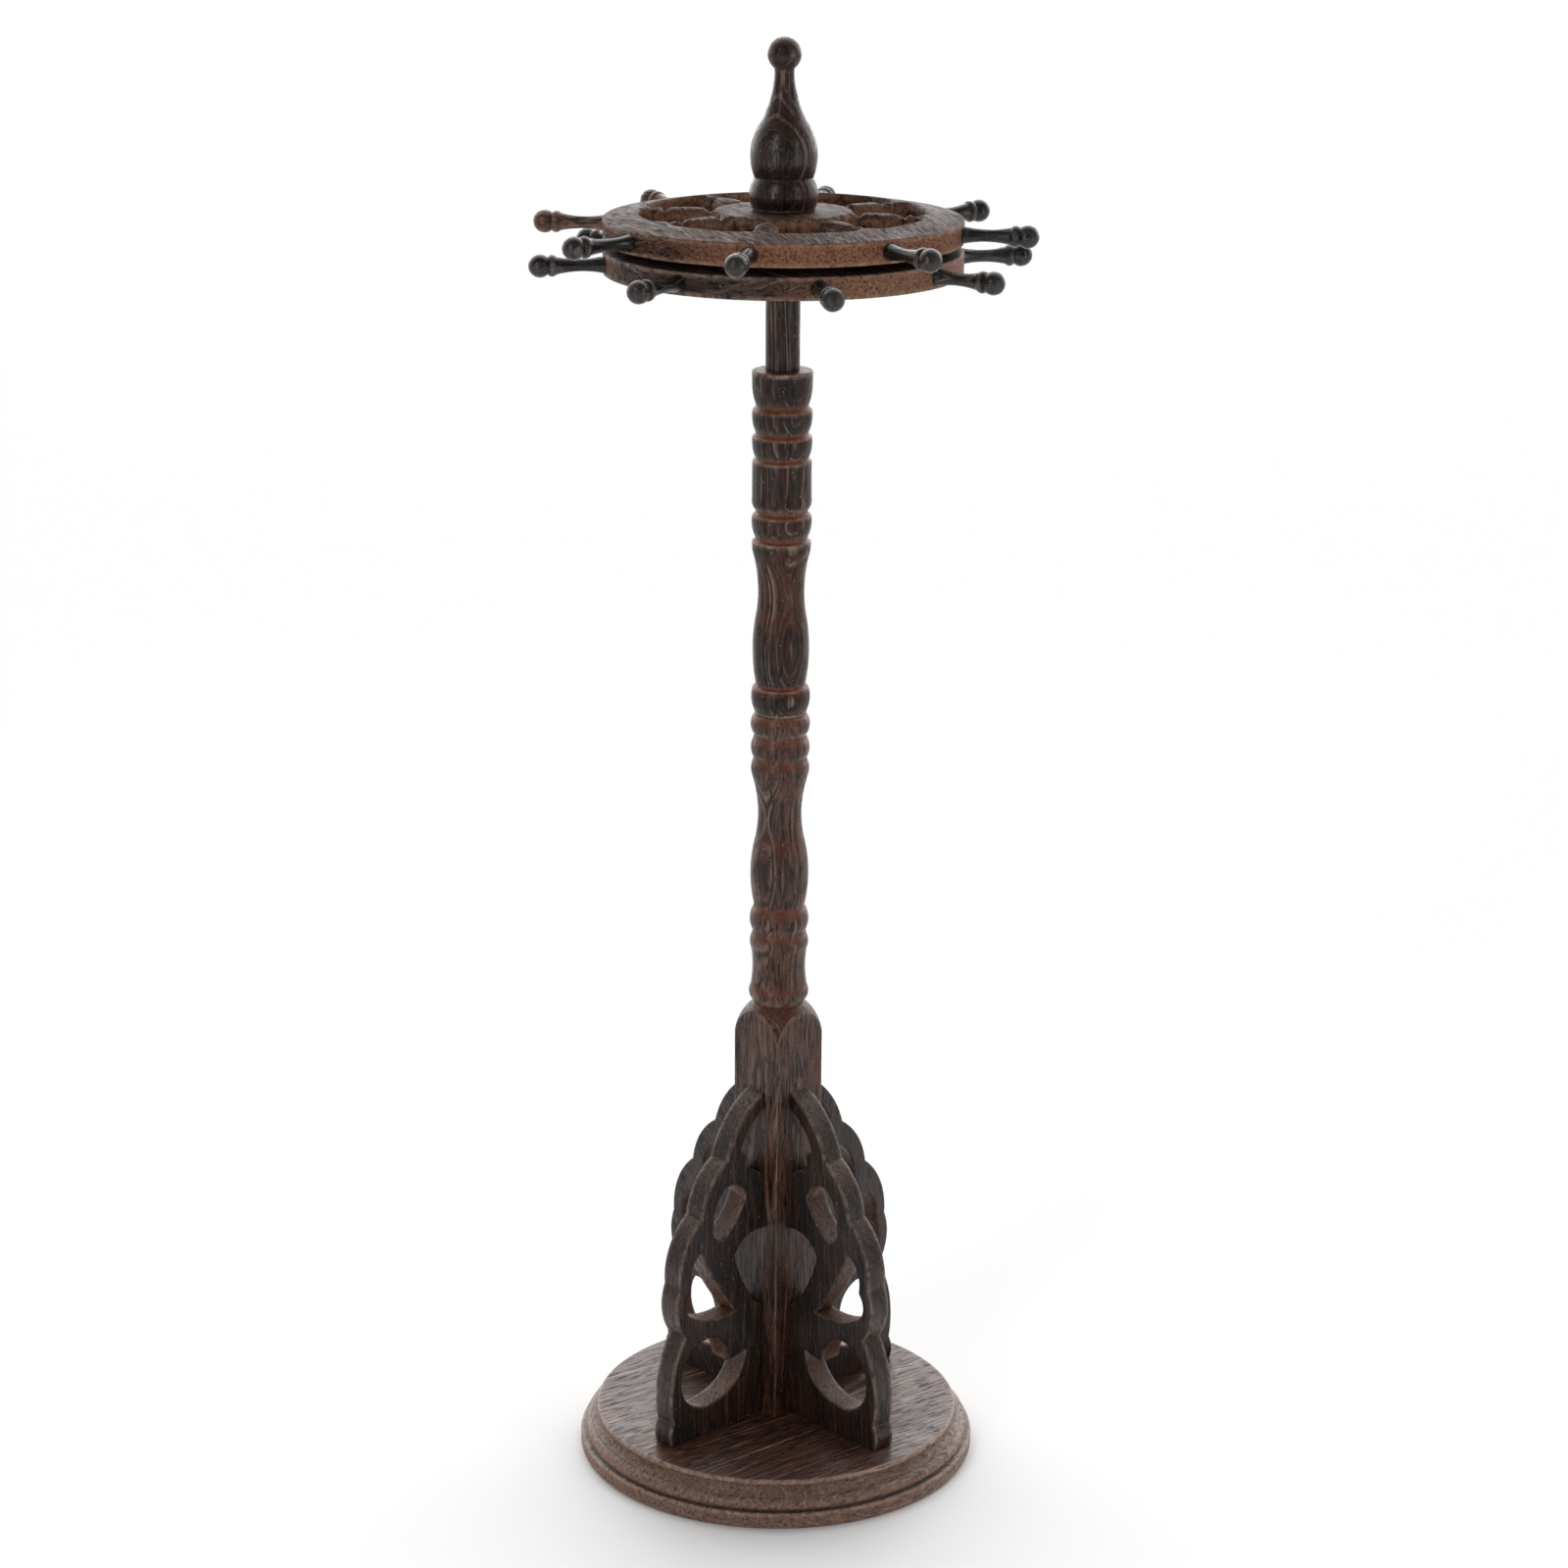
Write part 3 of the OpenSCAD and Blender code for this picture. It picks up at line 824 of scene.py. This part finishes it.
    # Wax
    s.bsdf.inputs["Specular IOR Level"].default_value = sheen
    haze = s.remap(s.noise(at, 0.1, 5.0, 0.65), 0.3, 0.7, roughness - 0.05, roughness + 0.1)
    matt = s.math("ADD", haze, s.math("MULTIPLY", pores, 0.2))
    matt = s.math("ADD", matt, s.remap(fibre, 0.42, 0.6, 0.1, -0.06))
    matt = s.math("ADD", matt, s.math("MULTIPLY", s.attribute("end"), 0.12), clamp=True)
    s.feed(s.bsdf.inputs["Roughness"], matt)

    # Relief
    height = s.math("SUBTRACT", s.math("MULTIPLY", fibre, 0.8), pits)
    height = s.math("ADD", height, s.math("MULTIPLY", pale, 0.4))
    bump = s.node("ShaderNodeBump", {"Height": height, "Strength": 0.5, "Distance": 0.00014})
    s.feed(s.bsdf.inputs["Normal"], bump.outputs["Normal"])
    return s.material


def steel():
    """Plain brushed steel for the screw."""
    s = Shader("screw_steel")
    brushed = s.noise(s.coords((1000, 9000, 1000)), 0.6, 3.0)
    grey = s.mix(s.remap(brushed, 0.3, 0.7), (0.36, 0.36, 0.36, 1), (0.6, 0.6, 0.6, 1))
    s.feed(s.bsdf.inputs["Base Color"], grey)
    s.feed(s.bsdf.inputs["Roughness"], s.remap(brushed, 0.3, 0.7, 0.3, 0.5))
    s.bsdf.inputs["Metallic"].default_value = 1.0
    return s.material


column_wood = wood(
    "column_wood",
    dark=rgb(28, 16, 12), light=rgb(94, 65, 55), red=rgb(98, 54, 35),
    worn=rgb(168, 148, 136), end=rgb(110, 70, 50),
    lines=0.28, roughness=0.27, sheen=0.3, rusty=0.9,
)
shaft_wood = wood(
    "shaft_wood",
    dark=rgb(8, 5, 4), light=rgb(44, 28, 24), red=rgb(84, 44, 28),
    worn=rgb(156, 136, 124), end=rgb(90, 56, 40),
    lines=0.45, wear=0.9, roughness=0.24, sheen=0.22, rusty=1.0,
)
base_wood = wood(
    "base_wood",
    dark=rgb(54, 32, 26), light=rgb(108, 76, 64), red=rgb(96, 50, 34),
    worn=rgb(190, 158, 138), end=rgb(178, 142, 120),
    line=0.7, cut=0.45, raw=0.4, roughness=0.32,
)
wheel_wood = wood(
    "wheel_wood",
    dark=rgb(18, 10, 7), light=rgb(92, 59, 44), red=rgb(94, 52, 32),
    worn=rgb(160, 130, 110), end=rgb(146, 100, 76),
    lines=0.45, roughness=0.52, sheen=0.15,
)
# The lower wheel's wood: the wheel wood made darker, as painted shade for the lower wheel.
shaded_wheel_wood = wood(
    "shaded_wheel_wood",
    dark=rgb(12, 8, 7), light=rgb(58, 42, 36), red=rgb(66, 42, 31),
    worn=rgb(150, 126, 112), end=rgb(146, 102, 78),
    lines=0.4, roughness=0.5, sheen=0.25,
)
bracket_wood = wood(
    "bracket_wood",
    dark=rgb(9, 6, 5), light=rgb(56, 39, 33), red=rgb(66, 38, 27),
    worn=rgb(150, 124, 108), end=rgb(146, 92, 58),
    line=0.7, lines=0.15, wear=0.5, cut=0.15, raw=0.42, roughness=0.3,
)
finial_wood = wood(
    "finial_wood",
    dark=rgb(12, 7, 6), light=rgb(62, 43, 38), red=rgb(80, 46, 32),
    worn=rgb(160, 142, 132), end=rgb(76, 50, 38),
    lines=0.4, wear=0.9, roughness=0.23, sheen=0.32, rusty=0.3,
)
peg_wood = wood(
    "peg_wood",
    dark=rgb(7, 6, 6), light=rgb(38, 31, 29), red=rgb(46, 30, 23),
    worn=rgb(130, 122, 118), end=rgb(44, 36, 32),
    lines=0.3, wear=0.7, roughness=0.18,
)
pale_peg_wood = wood(
    "pale_peg_wood",
    dark=rgb(46, 26, 18), light=rgb(116, 80, 58), red=rgb(108, 62, 39),
    worn=rgb(156, 128, 106), end=rgb(96, 66, 48),
    lines=0.3,
)


# ---- from a mesh to a piece of the frame ----
UP = Vector((0, 0, 1))
END_FROM = 0.45  # faces turned this far along the grain start to show end grain
END_OVER = 0.35


def lay_grain(piece, along=UP, ring_side=Vector((1, 0, 0)), shift=(0, 0, 0)):
    """Gives a piece the coordinates of its wood: Z along the grain, X away from the tree's middle."""
    mesh = piece.data
    z_axis = along.normalized()
    x_axis = (ring_side - z_axis * ring_side.dot(z_axis)).normalized()
    axes = np.array([x_axis, z_axis.cross(x_axis), z_axis])
    co = np.zeros(len(mesh.vertices) * 3, np.float32)
    mesh.vertices.foreach_get("co", co)
    at = co.reshape(-1, 3) / MM @ axes.T + np.array(shift)
    layer = mesh.attributes.new("grain_at", "FLOAT_VECTOR", "POINT")
    layer.data.foreach_set("vector", at.astype(np.float32).ravel())
    normals = np.zeros(len(mesh.vertices) * 3, np.float32)
    mesh.vertex_normals.foreach_get("vector", normals)
    facing = np.clip((np.abs(normals.reshape(-1, 3) @ axes[2]) - END_FROM) / END_OVER, 0, 1)
    layer = mesh.attributes.new("end", "FLOAT", "POINT")
    layer.data.foreach_set("value", facing.astype(np.float32))


def finish(piece, material, body, node):
    """Gives a piece its material and body, in place of a CAD node."""
    piece.data.materials.append(material)
    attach(piece, body)
    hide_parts(node)


def copied(pattern, name):
    """A copy of a pattern with its own mesh."""
    piece = pattern.copy()
    piece.data = pattern.data.copy()
    piece.name = name
    scene.collection.objects.link(piece)
    return piece


# ---- camera, light and floor ----
# The lens's tilt, height and distance are those of a product shot from a little above the wheels.
CAMERA_BEARING = math.radians(1.2)
CAMERA_AWAY = 1103.5
CAMERA_HEIGHT = 552.4
CAMERA_TILT = math.radians(16.69)
CAMERA_ROLL = math.radians(0.37)
LENS = 85.92
SENSOR_WIDTH = 36
SIDE_SHIFT = 0.0026

camera = bpy.data.objects.new("camera", bpy.data.cameras.new("camera"))
scene.collection.objects.link(camera)
camera.data.lens = LENS
camera.data.sensor_width = SENSOR_WIDTH
camera.data.shift_x = SIDE_SHIFT
place = Vector((math.sin(CAMERA_BEARING), -math.cos(CAMERA_BEARING), 0)) * CAMERA_AWAY
camera.matrix_world = (
    Matrix.Translation((place + Vector((0, 0, CAMERA_HEIGHT))) * MM)
    @ Matrix.Rotation(CAMERA_BEARING, 4, "Z")
    @ Matrix.Rotation(math.radians(90) - CAMERA_TILT, 4, "X")
    @ Matrix.Rotation(CAMERA_ROLL, 4, "Z")
)
scene.camera = camera
scene.view_settings.view_transform = "Standard"

BACKDROP_LIGHT = 2.9
FRONT_LIGHT = 0.18
LIGHT_AIM = Vector((0, 0, 0.25))
FLOOR_HALF = 6
FLOOR_WHITE = 0.95


def studio_world():
    """White cloth all round, lit brightly behind the object and dimly in front of it."""
    world = bpy.data.worlds.new("studio")
    world.use_nodes = True
    tree = world.node_tree
    background = tree.nodes["Background"]
    coords = tree.nodes.new("ShaderNodeTexCoord")
    split = tree.nodes.new("ShaderNodeSeparateXYZ")
    ramp = tree.nodes.new("ShaderNodeMapRange")
    ramp.interpolation_type = "SMOOTHSTEP"
    ramp.inputs["From Min"].default_value = -0.1
    ramp.inputs["From Max"].default_value = 0.85
    ramp.inputs["To Min"].default_value = FRONT_LIGHT
    ramp.inputs["To Max"].default_value = BACKDROP_LIGHT
    seen = tree.nodes.new("ShaderNodeLightPath")
    choose = tree.nodes.new("ShaderNodeMix")
    tree.links.new(coords.outputs["Generated"], split.inputs[0])
    tree.links.new(split.outputs["Y"], ramp.inputs["Value"])
    tree.links.new(seen.outputs["Is Camera Ray"], choose.inputs["Factor"])
    tree.links.new(ramp.outputs["Result"], choose.inputs["A"])
    choose.inputs["B"].default_value = 1.0
    tree.links.new(choose.outputs["Result"], background.inputs["Strength"])
    background.inputs["Color"].default_value = (1, 1, 1, 1)
    return world


scene.world = studio_world()


def soft_light(name, watts, width, height, at):
    """A tall strip of soft light that faces the middle of the object."""
    lamp = bpy.data.objects.new(name, bpy.data.lights.new(name, "AREA"))
    lamp.data.shape = "RECTANGLE"
    lamp.data.energy = watts
    lamp.data.size = width
    lamp.data.size_y = height
    lamp.location = at
    lamp.rotation_euler = (LIGHT_AIM - Vector(at)).to_track_quat("-Z", "Y").to_euler()
    scene.collection.objects.link(lamp)


soft_light("key", watts=3.4, width=0.22, height=1.1, at=(-0.55, -0.95, 0.6))
soft_light("fill", watts=2.2, width=0.18, height=1.0, at=(0.9, -0.7, 0.5))


def white_floor():
    """A wide matt floor."""
    mesh = bpy.data.meshes.new("floor")
    corners = [(x * FLOOR_HALF, y * FLOOR_HALF, 0) for x, y in ((-1, -1), (1, -1), (1, 1), (-1, 1))]
    mesh.from_pydata(corners, [], [(0, 1, 2, 3)])
    floor = bpy.data.objects.new("floor", mesh)
    scene.collection.objects.link(floor)
    paint = Shader("floor")
    paint.bsdf.inputs["Base Color"].default_value = (FLOOR_WHITE, FLOOR_WHITE, FLOOR_WHITE, 1)
    paint.bsdf.inputs["Roughness"].default_value = 0.7
    mesh.materials.append(paint.material)


white_floor()


# ---- the object ----
def stand_piece(piece, timber, slot, node, **grain):
    """Lays the grain of a piece of the stand and puts it in place of a CAD node."""
    lay_grain(piece, **grain)
    finish(piece, timber, "stand", node)


def level_way(degrees):
    """A level direction at a bearing."""
    return Vector((math.cos(math.radians(degrees)), math.sin(math.radians(degrees)), 0))


stand_piece(
    lathe("stepped_base", base_outline, 192, ease=0.1, side=STEPS_R), base_wood, "base_wood", "base",
    along=level_way(38), ring_side=UP, shift=(0, 9, 0),
)
stand_piece(
    lower_column(), column_wood, "column_wood", "lower_column",
    ring_side=level_way(205), shift=(0, 17, 40),
)
# On the turned column, rust=1.0 also paints highlights on the shoulders that face down.
stand_piece(
    lathe("turned_column", upper_outline, 128, rust=1.0), shaft_wood, "column_wood", "upper_column",
    ring_side=level_way(300), shift=(3, 0, 60),
)
stand_piece(lathe("plain_rod", rod_outline, 96), shaft_wood, "column_wood", "axle_rod", shift=(9, 4, 30))
finial = lathe("gourd_finial", finial_outline, 128)
finial.matrix_world = Matrix.Translation((0, 0, FINIAL_Z * MM))
stand_piece(finial, finial_wood, "finial_wood", "finial", ring_side=level_way(250), shift=(5, 2, 11))

pattern = bracket("pierced_board")
for number, (side, bearing, slope) in enumerate(
    (("front_left", 225, 3), ("front_right", 315, -4), ("back_right", 45, 8), ("back_left", 135, 40))
):
    board = copied(pattern, "pierced_" + side)
    upright = Matrix.Rotation(math.radians(90), 4, "X")
    board.matrix_world = Matrix.Rotation(math.radians(bearing), 4, "Z") @ upright
    slope = math.radians(slope)
    stand_piece(
        board, bracket_wood, "bracket_wood", side + "_bracket",
        along=Vector((math.sin(slope), math.cos(slope), 0)), ring_side=UP,
        shift=(2, 31 * number, 50 * number),
    )
bpy.data.objects.remove(pattern)

PALE_PEGS = (("upper", 6), ("upper", 7))
wheel_pattern = wheel("wheel_board")
peg_pattern = lathe("turned_peg", peg_outline, 48, ease=0.15)
# The lower wheel gets the darker, painted-shade copy of the wheel wood.
for level, z, grain_bearing, board_wood in (
    ("lower", LOWER_WHEEL_Z, -30, shaded_wheel_wood), ("upper", UPPER_WHEEL_Z, -62, wheel_wood)
):
    first = peg_tips[level + "_peg_1"]
    turn = math.atan2(first.y, first.x)
    board = copied(wheel_pattern, level + "_ship_wheel")
    board.matrix_world = Matrix.Translation((0, 0, z * MM)) @ Matrix.Rotation(turn, 4, "Z")
    lay_grain(board, along=level_way(grain_bearing - math.degrees(turn)), ring_side=UP, shift=(z, z, 0))
    finish(board, board_wood, level + "_wheel", level + "_wheel")
    for number in range(1, PEG_COUNT + 1):
        tip = peg_tips[f"{level}_peg_{number}"]
        bearing = math.atan2(tip.y, tip.x)
        peg = copied(peg_pattern, f"{level}_ball_peg_{number}")
        outward = Vector((math.cos(bearing), math.sin(bearing), 0)) * WHEEL_R
        lay_grain(peg, shift=(7 * number, z, 30 * number))
        peg.data.transform(
            Matrix.Translation((outward + Vector((0, 0, tip.z))) * MM)
            @ Matrix.Rotation(bearing, 4, "Z")
            @ Matrix.Rotation(math.radians(90), 4, "Y")
        )
        timber = pale_peg_wood if (level, number) in PALE_PEGS else peg_wood
        finish(peg, timber, level + "_wheel", f"{level}_peg_{number}")
bpy.data.objects.remove(wheel_pattern)
bpy.data.objects.remove(peg_pattern)

# The hidden screw and dowels keep their CAD meshes.
for node, material in (("base_screw", steel()), ("bracket_dowels", peg_wood)):
    nodes[node].data.materials.clear()
    nodes[node].data.materials.append(material)
    lay_grain(nodes[node])
